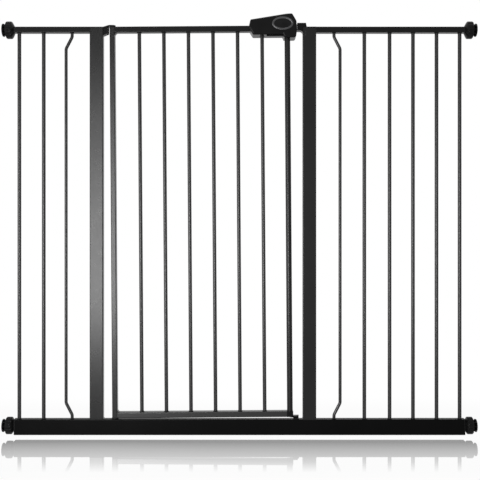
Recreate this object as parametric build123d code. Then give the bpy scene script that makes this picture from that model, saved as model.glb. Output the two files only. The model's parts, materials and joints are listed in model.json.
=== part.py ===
from build123d import *
import math
import os

# Pressure-fit safety gate, extra tall, with a hinged door and two fixed side sections.
# Millimetres. +X runs along the gate to its lock side, -Y faces the viewer, +Z is up.
# The origin lies under the middle of the gate, on the underside of the bottom rail.

# Overall
OPENING = 1204.0          # wall to wall, between the flat faces of the feet
HEIGHT = 1036.0           # top of the posts and the section rails

# Tubes, all with their longer side front to back except the posts and the bottom rail
TUBE_DEPTH = 20.0
TUBE_CORNER = 2.0
TUBE_WALL = 1.5
BOTTOM_RAIL_H = 40.0
RAIL_H = 14.5
POST_W = 34.0
LEFT_POST_X = -363.0      # middle of the left post
RIGHT_POST_X = 177.6      # middle of the right post

# Bars of the two sections
BAR_D = 9.5
BENT_BAR_D = 8.0
WELD = 1.2                # height and reach of the weld round a bar's end
LEFT_BAR_SHARES = (0.948, 0.622)    # straight bars, as shares of the way from post to rail end
RIGHT_BAR_SHARES = (0.328, 0.499, 0.6575, 0.817, 0.9735)
BENT_END_OFF = 46.0       # bent bar's ends, from the near face of the post
BENT_REACH = 15.5         # how far the bent bar jogs away from the post
BENT_STRAIGHT = 10.0      # straight stretch at each end
BENT_RISE = 30.0          # height of the jog
BENT_R = 14.0

# Wall adjusters
SPINDLE_D = 8.0
SPINDLE_TRAVEL = 30.0
SPINDLE_HOLD = 15.0       # spindle left in its plug when fully out
WHEEL_D = 43.6
WHEEL_L = 20.0
WHEEL_HUB_D = 23.0
WHEEL_CONE = 6.5          # length of the taper towards the rail
WHEEL_BEVEL = 1.6
WHEEL_FLUTES = 14
WHEEL_FLUTE_R = 2.3
FLOOR_GAP = 0.75          # lower wheels clear the floor by this
FOOT_D = 33.0
FOOT_L = 9.4
FOOT_PAD = 2.6            # thickness of the round plate against the wall
FOOT_HUB_D = 13.0
FOOT_NECK_D = 27.0        # plate at the wheel's end
FOOT_NECK_T = 1.4
FOOT_FINS = 8
FOOT_FIN_T = 2.0
FOOT_SOCKET = 6.5
PLUG_L = 25.0
PLUG_FLANGE = 2.0

# Door, drawn upright and then leant as a whole about its lower hinge
DOOR_LEAN = 0.4           # degrees, its top towards the hinge post
HINGE_X = -316.3          # middle of the hinge tube
LOCK_X = 128.5            # middle of the round lock tube
DOOR_BOTTOM = 43.0
HINGE_TUBE_W = 13.0
LOCK_TUBE_D = 14.6
DOOR_BARS = 6
DOOR_BAR_PITCH = 62.5
LAST_BAR_OFF = 64.2       # last bar from the lock tube
BUSH_FLANGE = 2.0
BUSH_L = 28.0
PIN_D = 8.0
PIN_REACH = 24.0          # pin inside each bush
PIN_ROOT = 12.0           # lower pin's root inside the bottom rail
WASHER_D = 17.0

# Hinge bracket on the left post
CAP_T = 2.0
CAP_PLUG = 25.0
ARM_W = 16.0
ARM_T = 3.5
ARM_GAP = 1.0             # between the door's top and the arm
LUG_DROP = 22.0           # lug below the post's top, at the post
LUG_END_DROP = 16.5       # and beside the hinge tube
LUG_SLANT = 35.0          # degrees, each half of the lug's V-shaped end
LUG_GAP = 1.5             # between the lug and what turns past it

# Foot of the door and its stop
HEEL_L = 11.5
HEEL_T = 4.0
HEEL_DROP = 2.0
HEEL_BACK = 6.3           # heel's rear face from the middle plane
FOOT_H = 14.0
FOOT_W = 16.0
TENON_L = 15.0
STOP_PLATE_T = 2.5
STOP_LIP_T = 3.0
STOP_LIP_H = 8.0
STOP_GAP = 0.2

# Handle, its outline measured from the lock tube's middle and the door's top
HANDLE_DEPTH = 46.0
HANDLE_TAIL = 12.8        # handle's left tip, behind the spring's end
HANDLE_RIGHT = 23.5
HANDLE_TOP = 27.9
HANDLE_TOP_LEFT = 13.2
HANDLE_CREST = 2.2        # where the top's slope ends, left of the tube
HANDLE_CREST_DIP = 0.5
HANDLE_NOSE_IN = 1.0      # nose's hollow at a third of its height
HANDLE_DROP = 25.4
HANDLE_LEFT_LOW = 6.7     # left tip, below the door's top
HANDLE_UNDERCUT = 11.0    # underside's left end, from the left tip
LOBE_DROP = 33.0
LOBE_HALF = 9.0
LOBE_SLANT = 3.0
LOBE_NOSE_IN = 2.5
HANDLE_ROUNDS = (3, 10, 5, 10, 10, 6, 2, 2, 5, 5)
HANDLE_EDGE = 5.0
RECESS_L = 42.0
RECESS_W = 17.0
RECESS_DEPTH = 6.0
RECESS_OFF = 11.0         # recess's right end from the lock tube's middle
RECESS_EDGE = 3.0         # from the front face

# Lock in the handle
BOLT_W = 10.0
BOLT_H = 6.5
BOLT_RISE = 1.8           # bolt's underside above the door's top
BOLT_L = 83.0
BOLT_BACK = 0.5           # tip inside the handle's nose when drawn back
LOCK_TRAVEL = 13.0
SPRING_D = 6.2
SPRING_WALL = 0.9
SPRING_L = 26.0
THUMB_L = 22.0
THUMB_W = 15.0
THUMB_FLOOR = 12.5        # floor of the thumb's pocket above the door's top
THUMB_H = 4.6
THUMB_OFF = 65.0          # thumb piece's left end from the lock tube's middle
THUMB_END = 1.0           # free space at each end of its run
STEM_L = 12.0
STEM_W = 5.6
GROOVES = 4
GROOVE_R = 0.8

# Badge, bare, on the front of the handle
BADGE_OFF = 12.5          # its middle, left of the lock tube
BADGE_RISE = 2.2          # its middle, above the door's top
BADGE_RX = 27.0
BADGE_RZ = 17.0
BADGE_BAND = 5.5
BADGE_SEAT = 1.0
BADGE_PROUD = 1.2

# Keeper on the right post
KEEPER_GAP = 1.5          # from the handle's nose
KEEPER_W = 18.0
KEEPER_ON_POST = 8.0
KEEPER_WALL = 4.0
KEEPER_DROP = 10.0        # fork below the post's top
KEEPER_RISE = 9.5
KEEPER_ROOT = 7.0
RIVET_D = 3.2
RIVET_HEAD_D = 5.0
RIVET_HEAD = 1.0
RIVET_PITCH = 7.5
RIVET_DROP = 13.0
RIVET_IN = 7.0            # from the post's inner face

# Screws of the handle, from the rear
SCREW_D = 3.0
SCREW_HEAD_D = 6.0
SCREW_HEAD = 2.2
SCREW_L = 30.0
SCREW_SINK = 3.0
SCREW_SPOTS = ((15.5, -16.0), (-4.0, 17.5))  # from the lock tube and the door's top
TAIL_SCREW_GAP = 3.8      # third screw's middle, behind the spring's end
TAIL_SCREW_RISE = 5.0

# Clearances
FIT = 0.1                 # plug in tube, shell on tube
RUN = 0.06                # radial, pin or spindle in its bore
SEAT = 0.1                # between faces that turn on each other
SLIDE = 0.3               # round the bolt and the thumb piece
POCKET = 0.6              # bolt in its keeper

# Places worked out from the sizes
RAIL_END = OPENING / 2 - FOOT_L - SEAT - WHEEL_L - SEAT - PLUG_FLANGE
TOP_RAIL_Z = HEIGHT - RAIL_H / 2
DOOR_TOP = HEIGHT
TOP_RAIL_UNDER = HEIGHT - RAIL_H
POST_TOP = HEIGHT - CAP_T
LOWER_SPINDLE_Z = WHEEL_D / 2 + FLOOR_GAP
LEFT_POST_IN = LEFT_POST_X + POST_W / 2
LEFT_POST_OUT = LEFT_POST_X - POST_W / 2
RIGHT_POST_IN = RIGHT_POST_X - POST_W / 2
RIGHT_POST_OUT = RIGHT_POST_X + POST_W / 2
DOOR_RAIL_X = HINGE_X + HINGE_TUBE_W / 2
BOLT_Z = DOOR_TOP + BOLT_RISE + BOLT_H / 2
NOSE_X = LOCK_X + HANDLE_RIGHT
SPRING_END = BOLT_L + SPRING_L + BOLT_BACK - HANDLE_RIGHT  # left of the lock tube's middle
HANDLE_LEFT = SPRING_END + HANDLE_TAIL
LEAN = Pos(HINGE_X, 0, BOTTOM_RAIL_H) * Rot(0, -DOOR_LEAN, 0) * Pos(-HINGE_X, 0, -BOTTOM_RAIL_H)


def leant(x, z):
    """Where a point of the upright door's middle plane lies once the door leans."""
    spot = (LEAN * Pos(x, 0, z)).position
    return spot.X, spot.Z


def section(width, depth):
    """Rounded outline of a tube."""
    return RectangleRounded(width, depth, TUBE_CORNER)


def hollow(width, depth, gap=0.0):
    """Rounded outline of a tube's inside, or of a plug that leaves a gap to it."""
    inset = 2 * (TUBE_WALL + gap)
    corner = max(TUBE_CORNER - TUBE_WALL, TUBE_CORNER / 4)
    return RectangleRounded(width - inset, depth - inset, corner)


def upright(x, z0, z1, width):
    """Tube standing along Z."""
    return extrude(Pos(x, 0, z0) * (section(width, TUBE_DEPTH) - hollow(width, TUBE_DEPTH)), z1 - z0)


def level(x0, x1, z, height):
    """Tube lying along X, with z at its middle."""
    outline = section(TUBE_DEPTH, height) - hollow(TUBE_DEPTH, height)
    return extrude(across(x0, z) * outline, x1 - x0)


def across(x, z):
    """Plane square to X, with Y to its right and Z up."""
    return Plane(origin=(x, 0, z), x_dir=(0, 1, 0), z_dir=(1, 0, 0))


def post_plug(x):
    """Plug in the open top of a post."""
    return extrude(Pos(x, 0, POST_TOP) * hollow(POST_W, TUBE_DEPTH, FIT), -CAP_PLUG)


def block(x0, x1, y0, y1, z0, z1):
    """Box between two corners."""
    return Pos((x0 + x1) / 2, (y0 + y1) / 2, (z0 + z1) / 2) * Box(x1 - x0, y1 - y0, z1 - z0)


def rod(x, z0, z1, diameter):
    """Round rod along Z."""
    return Pos(x, 0, (z0 + z1) / 2) * Cylinder(diameter / 2, z1 - z0)


def rod_x(x0, x1, z, diameter):
    """Round rod along X."""
    return Pos((x0 + x1) / 2, 0, z) * Rot(0, 90, 0) * Cylinder(diameter / 2, abs(x1 - x0))


def rod_y(x, y0, y1, z, diameter):
    """Round rod along Y."""
    return Pos(x, (y0 + y1) / 2, z) * Rot(90, 0, 0) * Cylinder(diameter / 2, y1 - y0)


def turned_x(profile):
    """Solid of revolution about X from points of (distance along X, radius)."""
    outline = make_face(Polyline(*profile, close=True))
    return revolve(Plane.XZ * outline, Axis.X)


def straight_bar(x, z0, z1):
    """Straight bar with the small weld that rounds off each end."""
    r = BAR_D / 2
    flare = r + WELD
    outline = Polyline(
        (0, z0), (flare, z0), (r, z0 + WELD), (r, z1 - WELD), (flare, z1), (0, z1), close=True
    )
    return Pos(x, 0, 0) * revolve(Plane.XZ * make_face(outline), Axis.Z)


def bent_bar(end_x, middle_x):
    """Bar that jogs away from the post near its top and bottom."""
    low = BOTTOM_RAIL_H
    high = TOP_RAIL_UNDER
    jog = BENT_STRAIGHT + BENT_RISE
    path = FilletPolyline(
        (end_x, 0, low),
        (end_x, 0, low + BENT_STRAIGHT),
        (middle_x, 0, low + jog),
        (middle_x, 0, high - jog),
        (end_x, 0, high - BENT_STRAIGHT),
        (end_x, 0, high),
        radius=BENT_R,
    )
    return sweep(Plane(origin=(end_x, 0, low), z_dir=(0, 0, 1)) * Circle(BENT_BAR_D / 2), path)


def frame_parts():
    """Bottom rail, posts, section rails and bars."""
    pin_low = BOTTOM_RAIL_H - PIN_ROOT
    lower_pin_hole = LEAN * rod(HINGE_X, pin_low, BOTTOM_RAIL_H + PIN_ROOT, PIN_D + 2 * FIT)
    left_bend = LEFT_POST_OUT - BENT_END_OFF
    right_bend = RIGHT_POST_OUT + BENT_END_OFF
    rivet_holes = [rod_y(x, -TUBE_DEPTH, 0, z, RIVET_D + 2 * FIT) for x, z in rivet_spots()]
    parts = {
        "bottom_rail": level(-RAIL_END, RAIL_END, BOTTOM_RAIL_H / 2, BOTTOM_RAIL_H) - lower_pin_hole,
        "left_post": upright(LEFT_POST_X, BOTTOM_RAIL_H, POST_TOP, POST_W),
        "right_post": upright(RIGHT_POST_X, BOTTOM_RAIL_H, POST_TOP, POST_W) - rivet_holes,
        "left_top_rail": level(-RAIL_END, LEFT_POST_OUT, TOP_RAIL_Z, RAIL_H),
        "right_top_rail": level(RIGHT_POST_OUT, RAIL_END, TOP_RAIL_Z, RAIL_H),
        "left_bent_bar": bent_bar(left_bend, left_bend - BENT_REACH),
        "right_bent_bar": bent_bar(right_bend, right_bend + BENT_REACH),
    }
    for i, share in enumerate(LEFT_BAR_SHARES):
        x = LEFT_POST_OUT - share * (RAIL_END + LEFT_POST_OUT)
        parts[f"left_bar_{i + 1}"] = straight_bar(x, BOTTOM_RAIL_H, TOP_RAIL_UNDER)
    for i, share in enumerate(RIGHT_BAR_SHARES):
        x = RIGHT_POST_OUT + share * (RAIL_END - RIGHT_POST_OUT)
        parts[f"right_bar_{i + 1}"] = straight_bar(x, BOTTOM_RAIL_H, TOP_RAIL_UNDER)
    return parts


def wheel():
    """Hand wheel from its seat on the rail's plug outwards: tapered hub, fluted grip, bevelled face."""
    bore = SPINDLE_D / 2 + RUN
    rim = WHEEL_D / 2
    body = turned_x([
        (0, bore),
        (0, WHEEL_HUB_D / 2),
        (WHEEL_CONE, rim),
        (WHEEL_L - WHEEL_BEVEL, rim),
        (WHEEL_L, rim - WHEEL_BEVEL),
        (WHEEL_L, bore),
    ])
    flute = rod_x(-WHEEL_L, 2 * WHEEL_L, rim + WHEEL_FLUTE_R / 3, 2 * WHEEL_FLUTE_R)
    return body - [Rot(360 * i / WHEEL_FLUTES, 0, 0) * flute for i in range(WHEEL_FLUTES)]


def wall_foot():
    """Finned foot, its flat face at 0 and its hub running back along -X."""
    hub = FOOT_HUB_D / 2
    pad = FOOT_D / 2
    neck = FOOT_NECK_D / 2
    neck_x = FOOT_NECK_T - FOOT_L
    body = turned_x([
        (0, 0),
        (0, pad),
        (-FOOT_PAD, pad),
        (-FOOT_PAD, hub),
        (neck_x, hub),
        (neck_x, neck),
        (-FOOT_L, neck),
        (-FOOT_L, 0),
    ])
    fin_outline = Polyline((-FOOT_PAD, 0), (-FOOT_PAD, pad - WELD), (neck_x, neck), (neck_x, 0), close=True)
    fin = extrude(Plane.XZ * make_face(fin_outline), FOOT_FIN_T / 2, both=True)
    body += [Rot(360 * i / FOOT_FINS, 0, 0) * fin for i in range(FOOT_FINS)]
    return body - rod_x(-FOOT_L, -FOOT_L + FOOT_SOCKET, 0, SPINDLE_D + 2 * FIT)


def adjuster(z, rail_z, rail_height):
    """Pieces of one right-hand adjuster: end plug, spindle, wheel and foot, on an axis at height z."""
    end = across(RAIL_END, rail_z)
    plug = extrude(end * section(TUBE_DEPTH, rail_height), PLUG_FLANGE)
    plug += extrude(end * hollow(TUBE_DEPTH, rail_height, FIT), -PLUG_L)
    plug -= rod_x(RAIL_END - PLUG_L, RAIL_END + PLUG_FLANGE, z, SPINDLE_D + 2 * RUN)
    tip = OPENING / 2 - FOOT_L + FOOT_SOCKET
    inner = RAIL_END + PLUG_FLANGE - SPINDLE_HOLD - SPINDLE_TRAVEL
    return {
        "plug": plug,
        "spindle": rod_x(inner, tip, z, SPINDLE_D),
        "wheel": Pos(RAIL_END + PLUG_FLANGE + SEAT, 0, z) * wheel(),
        "foot": Pos(OPENING / 2, 0, z) * wall_foot(),
    }


def adjuster_parts():
    """The four adjusters, the left pair mirrored from the right."""
    parts = {}
    levels = {
        "bottom": (LOWER_SPINDLE_Z, BOTTOM_RAIL_H / 2, BOTTOM_RAIL_H),
        "top": (TOP_RAIL_Z, TOP_RAIL_Z, RAIL_H),
    }
    for place, sizes in levels.items():
        for piece, solid in adjuster(*sizes).items():
            parts[f"right_{place}_{piece}"] = solid
            parts[f"left_{place}_{piece}"] = mirror(solid, Plane.YZ)
    return parts


def hinge_bush(flange_z, into):
    """Bush in an end of the hinge tube; into is +1 when its body runs up into the tube."""
    flange = extrude(Pos(HINGE_X, 0, flange_z) * section(HINGE_TUBE_W, TUBE_DEPTH), into * BUSH_FLANGE)
    near = flange_z + into * BUSH_FLANGE
    far = near + into * BUSH_L
    body = extrude(Pos(HINGE_X, 0, near) * hollow(HINGE_TUBE_W, TUBE_DEPTH, FIT), into * BUSH_L)
    bore = rod(HINGE_X, min(flange_z, far), max(flange_z, far), PIN_D + 2 * RUN)
    return flange + body - bore


def door_bar_x(i):
    """Middle of a door bar, counted from the hinge side."""
    return LOCK_X - LAST_BAR_OFF - (DOOR_BARS - 1 - i) * DOOR_BAR_PITCH


def door_foot():
    """Corner piece under the lock tube: block, peg into the tube, tenon into the rail, heel for the stop."""
    right = LOCK_X + FOOT_W / 2
    left = LOCK_X - FOOT_W / 2
    half = TUBE_DEPTH / 2
    body = block(left, right, -half, half, DOOR_BOTTOM, DOOR_BOTTOM + FOOT_H)
    body = fillet(body.edges().filter_by(Axis.Z), TUBE_CORNER)
    top = DOOR_BOTTOM + FOOT_H
    body += rod(LOCK_X, top, top + TENON_L, LOCK_TUBE_D - 2 * (TUBE_WALL + FIT))
    body += extrude(across(left, DOOR_BOTTOM + RAIL_H / 2) * hollow(TUBE_DEPTH, RAIL_H, FIT), -TENON_L)
    heel_low = DOOR_BOTTOM - HEEL_DROP
    body += block(LOCK_X, right + HEEL_L, -half / 2, HEEL_BACK, heel_low, heel_low + HEEL_T)
    return body


def door_parts():
    """Door frame and bars, upright."""
    rail_end = LOCK_X - FOOT_W / 2
    top_z = DOOR_TOP - RAIL_H / 2
    bar_low = DOOR_BOTTOM + RAIL_H
    bar_high = DOOR_TOP - RAIL_H
    tube_low = DOOR_BOTTOM + FOOT_H
    lock_tube = rod(LOCK_X, tube_low, DOOR_TOP, LOCK_TUBE_D)
    lock_tube -= rod(LOCK_X, tube_low, DOOR_TOP, LOCK_TUBE_D - 2 * TUBE_WALL)
    cope = rod(LOCK_X, DOOR_TOP - 2 * RAIL_H, DOOR_TOP + RAIL_H, LOCK_TUBE_D + FIT)
    parts = {
        "door_hinge_tube": upright(HINGE_X, DOOR_BOTTOM + BUSH_FLANGE, DOOR_TOP - BUSH_FLANGE, HINGE_TUBE_W),
        "door_lock_tube": lock_tube,
        "door_top_rail": coped(level(DOOR_RAIL_X, LOCK_X, top_z, RAIL_H), cope),
        "door_bottom_rail": level(DOOR_RAIL_X, rail_end, DOOR_BOTTOM + RAIL_H / 2, RAIL_H),
        "door_foot": door_foot(),
        "top_hinge_bush": hinge_bush(DOOR_TOP, -1),
        "bottom_hinge_bush": hinge_bush(DOOR_BOTTOM, 1),
    }
    for i in range(DOOR_BARS):
        parts[f"door_bar_{i + 1}"] = straight_bar(door_bar_x(i), bar_low, bar_high)
    return parts


def coped(tube, cutter):
    """Tube whose end is cut to a round neighbour, without the scraps beyond it."""
    return (tube - cutter).solids().sort_by(Axis.X)[0]


def hinge_lug(axis_x, top):
    """Lug beside the hinge tube, its end hollowed to a V that the tube's corners clear as the door turns.
    Its front half ends short of the side of the open door's rail."""
    corner = math.hypot(HINGE_TUBE_W / 2 - TUBE_CORNER, TUBE_DEPTH / 2 - TUBE_CORNER) + TUBE_CORNER
    slant = math.radians(LUG_SLANT)
    half = ARM_W / 2
    hollow_x = axis_x - (corner + LUG_GAP) / math.cos(slant)
    end_x = hollow_x + half * math.tan(slant)
    stop_x = axis_x - TUBE_DEPTH / 2 - LUG_GAP
    stop_y = (hollow_x - stop_x) / math.tan(slant)
    low = HEIGHT - LUG_DROP
    plan = make_face(Polyline(
        (LEFT_POST_IN, -half),
        (stop_x, -half),
        (stop_x, stop_y),
        (hollow_x, 0),
        (end_x, half),
        (LEFT_POST_IN, half),
        close=True,
    ))
    side = make_face(Polyline(
        (LEFT_POST_IN, HEIGHT), (end_x, top), (end_x, HEIGHT - LUG_END_DROP), (LEFT_POST_IN, low), close=True
    ))
    return extrude(Pos(0, 0, low) * plan, 2 * LUG_DROP) & extrude(Plane.XZ * side, half, both=True)


def hinge_parts():
    """Pins, washer and bracket that carry the door on the left post and the bottom rail."""
    arm_under = DOOR_TOP + ARM_GAP
    arm_top = arm_under + ARM_T
    axis_x, _ = leant(HINGE_X, DOOR_TOP)
    outline = make_face(Polyline(
        (LEFT_POST_OUT, POST_TOP),
        (LEFT_POST_OUT, HEIGHT),
        (LEFT_POST_IN, HEIGHT),
        (axis_x - ARM_W / 2, arm_top),
        (axis_x, arm_top),
        (axis_x, arm_under),
        (axis_x - ARM_W / 2, arm_under),
        (LEFT_POST_IN, POST_TOP),
        close=True,
    ))
    bracket = extrude(Plane.XZ * outline, ARM_W / 2, both=True)
    bracket += rod(axis_x, arm_under, arm_top, ARM_W)
    bracket += hinge_lug(axis_x, arm_under)
    bracket += post_plug(LEFT_POST_X)
    pin_top = DOOR_TOP + ARM_GAP + ARM_T
    bracket -= LEAN * rod(HINGE_X, DOOR_TOP - RAIL_H, pin_top + RAIL_H, PIN_D + 2 * RUN)
    washer_low = BOTTOM_RAIL_H + SEAT
    washer = rod(HINGE_X, washer_low, DOOR_BOTTOM - SEAT, WASHER_D)
    washer -= rod(HINGE_X, washer_low, DOOR_BOTTOM, PIN_D + 2 * RUN)
    return {
        "top_hinge_bracket": bracket,
        "top_hinge_pin": LEAN * rod(HINGE_X, DOOR_TOP - PIN_REACH, pin_top, PIN_D),
        "bottom_hinge_pin": LEAN * rod(HINGE_X, BOTTOM_RAIL_H - PIN_ROOT, DOOR_BOTTOM + PIN_REACH, PIN_D),
        "hinge_washer": LEAN * washer,
    }


def door_stop():
    """Plate on the bottom rail whose rear lip stops the door's heel."""
    left = LOCK_X + FOOT_W / 2
    right = left + HEEL_L + STOP_LIP_T
    lip_front = HEEL_BACK + STOP_GAP
    lip_back = lip_front + STOP_LIP_T
    low = BOTTOM_RAIL_H
    plate = block(left, right, -TUBE_DEPTH / 2, lip_back, low, low + STOP_PLATE_T)
    return plate + block(left, right, lip_front, lip_back, low, low + STOP_LIP_H)


def rivet_spots():
    """Places of the keeper's two rivets on the right post's front."""
    x = RIGHT_POST_IN + RIVET_IN
    return [(x, HEIGHT - RIVET_DROP - i * RIVET_PITCH) for i in range(2)]


def keeper_parts():
    """Forked keeper that caps the right post, and its rivets."""
    nose_x, bolt_z = leant(NOSE_X, BOLT_Z)
    left = nose_x + KEEPER_GAP
    right = RIGHT_POST_IN + KEEPER_ON_POST
    fork_top = HEIGHT + KEEPER_RISE
    under = HEIGHT - KEEPER_DROP
    root_left = (RIGHT_POST_IN - KEEPER_ROOT, under)
    root_low = (RIGHT_POST_IN, under - KEEPER_ROOT)
    outline = make_face(
        Polyline(
            root_low,
            (RIGHT_POST_IN, POST_TOP),
            (RIGHT_POST_OUT, POST_TOP),
            (RIGHT_POST_OUT, HEIGHT),
            (right + CAP_T, HEIGHT),
            (right, fork_top),
            (left, fork_top),
            (left, under),
            root_left,
        )
        + RadiusArc(root_left, root_low, KEEPER_ROOT)
    )
    body = extrude(Plane.XZ * outline, KEEPER_W / 2, both=True)
    body += post_plug(RIGHT_POST_X)
    slot = BOLT_W / 2 + POCKET
    floor = bolt_z - BOLT_H / 2 - POCKET
    body -= block(left - KEEPER_GAP, right - KEEPER_WALL, -slot, slot, floor, fork_top + BOLT_H)
    face = -TUBE_DEPTH / 2
    rivets = []
    for x, z in rivet_spots():
        body -= rod_y(x, face, 0, z, RIVET_D + 2 * FIT)
        head = rod_y(x, face - RIVET_HEAD, face, z, RIVET_HEAD_D)
        rivets.append(head + rod_y(x, face, -FIT, z, RIVET_D))
    return {"keeper": body, "keeper_rivets": Compound(children=rivets)}


def handle_body():
    """Handle's outer form, rounded along its front and rear outlines."""
    outline = FilletPolyline(
        (-HANDLE_LEFT + HANDLE_EDGE, HANDLE_TOP_LEFT),
        (-HANDLE_CREST, HANDLE_TOP - HANDLE_CREST_DIP),
        (HANDLE_RIGHT / 2, HANDLE_TOP),
        (HANDLE_RIGHT - HANDLE_NOSE_IN, HANDLE_TOP / 3),
        (HANDLE_RIGHT, -RAIL_H),
        (HANDLE_RIGHT - LOBE_NOSE_IN, -LOBE_DROP),
        (-LOBE_HALF, -LOBE_DROP),
        (-LOBE_HALF - LOBE_SLANT, -HANDLE_DROP),
        (-HANDLE_LEFT + HANDLE_UNDERCUT, -HANDLE_DROP),
        (-HANDLE_LEFT, -HANDLE_LEFT_LOW),
        radius=list(HANDLE_ROUNDS),
        close=True,
    )
    plane = Plane(origin=(LOCK_X, 0, DOOR_TOP), x_dir=(1, 0, 0), z_dir=(0, -1, 0))
    body = extrude(plane * make_face(outline), HANDLE_DEPTH / 2, both=True)
    rim = body.edges().group_by(Axis.Y)
    return fillet(rim[0] + rim[-1], HANDLE_EDGE)


def oval(grow):
    """Badge's outline on the handle's front face, grown all round."""
    origin = (LOCK_X - BADGE_OFF, -HANDLE_DEPTH / 2, DOOR_TOP + BADGE_RISE)
    front = Plane(origin=origin, x_dir=(1, 0, 0), z_dir=(0, -1, 0))
    return front * Ellipse(BADGE_RX + grow, BADGE_RZ + grow)


def handle_cuts():
    """Room in the handle for the door's tubes, the bolt, the thumb piece and the fingers."""
    bar_x = door_bar_x(DOOR_BARS - 1)
    deep = DOOR_TOP - 2 * LOBE_DROP
    side = TUBE_DEPTH / 2 + FIT
    rail_low = DOOR_TOP - RAIL_H - FIT
    bolt_y = BOLT_W / 2 + SLIDE
    bolt_z = BOLT_H / 2 + SLIDE
    bolt_back = NOSE_X - BOLT_BACK - BOLT_L
    thumb_left = LOCK_X - THUMB_OFF - THUMB_END
    thumb_right = LOCK_X - THUMB_OFF + THUMB_L + LOCK_TRAVEL + THUMB_END
    thumb_y = THUMB_W / 2 + SLIDE
    stem_in = (THUMB_L - STEM_L) / 2
    stem_y = STEM_W / 2 + SLIDE
    floor = DOOR_TOP + THUMB_FLOOR
    recess_right = LOCK_X - RECESS_OFF
    recess_front = RECESS_EDGE - HANDLE_DEPTH / 2
    recess_top = DOOR_TOP - HANDLE_DROP + RECESS_DEPTH
    return [
        block(LOCK_X - 2 * HANDLE_LEFT, LOCK_X, -side, side, rail_low, DOOR_TOP + FIT),
        rod(LOCK_X, deep, DOOR_TOP + FIT, LOCK_TUBE_D + 2 * FIT),
        rod(bar_x, deep, DOOR_TOP - RAIL_H, BAR_D + 2 * (WELD + FIT)),
        block(bolt_back - SPRING_L, NOSE_X + HANDLE_EDGE, -bolt_y, bolt_y, BOLT_Z - bolt_z, BOLT_Z + bolt_z),
        block(thumb_left, thumb_right, -thumb_y, thumb_y, floor, floor + HANDLE_TOP),
        block(thumb_left + stem_in, thumb_right - stem_in, -stem_y, stem_y, BOLT_Z, floor),
        block(recess_right - RECESS_L, recess_right, recess_front, recess_front + RECESS_W, deep, recess_top),
    ]


def handle_parts():
    """Front and rear shells with their channels, the badge and the screws."""
    half = HANDLE_DEPTH / 2
    cuts = handle_cuts()
    screws = []
    head_face = half - SCREW_SINK
    neck = head_face - SCREW_HEAD
    tail_screw = (-SPRING_END - TAIL_SCREW_GAP, TAIL_SCREW_RISE)
    for right, up in (tail_screw, *SCREW_SPOTS):
        x = LOCK_X + right
        z = DOOR_TOP + up
        cuts.append(rod_y(x, neck, half, z, SCREW_HEAD_D + 2 * FIT))
        cuts.append(rod_y(x, head_face - SCREW_L, neck, z, SCREW_D + 2 * FIT))
        head = rod_y(x, neck, head_face, z, SCREW_HEAD_D)
        screws.append(head + rod_y(x, head_face - SCREW_L, neck, z, SCREW_D))
    body = handle_body() - cuts
    reach = HANDLE_LEFT + HANDLE_TOP + LOBE_DROP
    front = body & block(LOCK_X - reach, LOCK_X + reach, -half, 0, DOOR_TOP - reach, DOOR_TOP + reach)
    rear = body & block(LOCK_X - reach, LOCK_X + reach, 0, half, DOOR_TOP - reach, DOOR_TOP + reach)
    band = oval(0) - oval(-BADGE_BAND)
    return {
        "handle_front": front - extrude(oval(FIT), -BADGE_SEAT),
        "handle_rear": rear,
        "badge_ring": extrude(band, BADGE_PROUD) + extrude(band, -BADGE_SEAT),
        "badge_plate": extrude(oval(-BADGE_BAND - FIT), -BADGE_SEAT),
        "handle_screws": Compound(children=screws),
    }


def lock_parts():
    """Bolt, thumb piece and return spring, drawn back as when a thumb holds them open."""
    tip = NOSE_X - BOLT_BACK
    back = tip - BOLT_L
    bolt = block(back, tip, -BOLT_W / 2, BOLT_W / 2, BOLT_Z - BOLT_H / 2, BOLT_Z + BOLT_H / 2)
    thumb_x = LOCK_X - THUMB_OFF
    floor = DOOR_TOP + THUMB_FLOOR + SLIDE
    stem_x = thumb_x + (THUMB_L - STEM_L) / 2
    pad = block(thumb_x, thumb_x + THUMB_L, -THUMB_W / 2, THUMB_W / 2, floor, floor + THUMB_H)
    pad = fillet(pad.edges().filter_by(Axis.Z), 2 * SLIDE)
    step = THUMB_L / (GROOVES + 1)
    for i in range(GROOVES):
        pad -= rod_y(thumb_x + (i + 1) * step, -THUMB_W, THUMB_W, floor + THUMB_H, 2 * GROOVE_R)
    stem = block(stem_x, stem_x + STEM_L, -STEM_W / 2, STEM_W / 2, BOLT_Z + BOLT_H / 2, floor)
    spring = rod_x(back - SPRING_L, back, BOLT_Z, SPRING_D)
    spring -= rod_x(back - SPRING_L, back, BOLT_Z, SPRING_D - 2 * SPRING_WALL)
    return {"lock_bolt": bolt, "thumb_slide": pad + stem, "lock_spring": spring}


def lean(shape):
    """Piece of the upright door, moved solid by solid to where the leaning door has it."""
    solids = [LEAN * solid for solid in shape.solids()]
    return solids[0] if len(solids) == 1 else Compound(children=solids)


def build():
    """Every piece by name, in the gate's frame."""
    parts = {**frame_parts(), **adjuster_parts(), **hinge_parts(), **keeper_parts()}
    parts["door_stop"] = door_stop()
    for name, shape in {**door_parts(), **handle_parts(), **lock_parts()}.items():
        parts[name] = lean(shape)
    return parts


os.makedirs("parts", exist_ok=True)
for name, solid in build().items():
    export_step(solid, f"parts/{name}.step")
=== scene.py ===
import json
import math

import bmesh
import bpy
from mathutils import Matrix, Vector, noise


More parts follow.
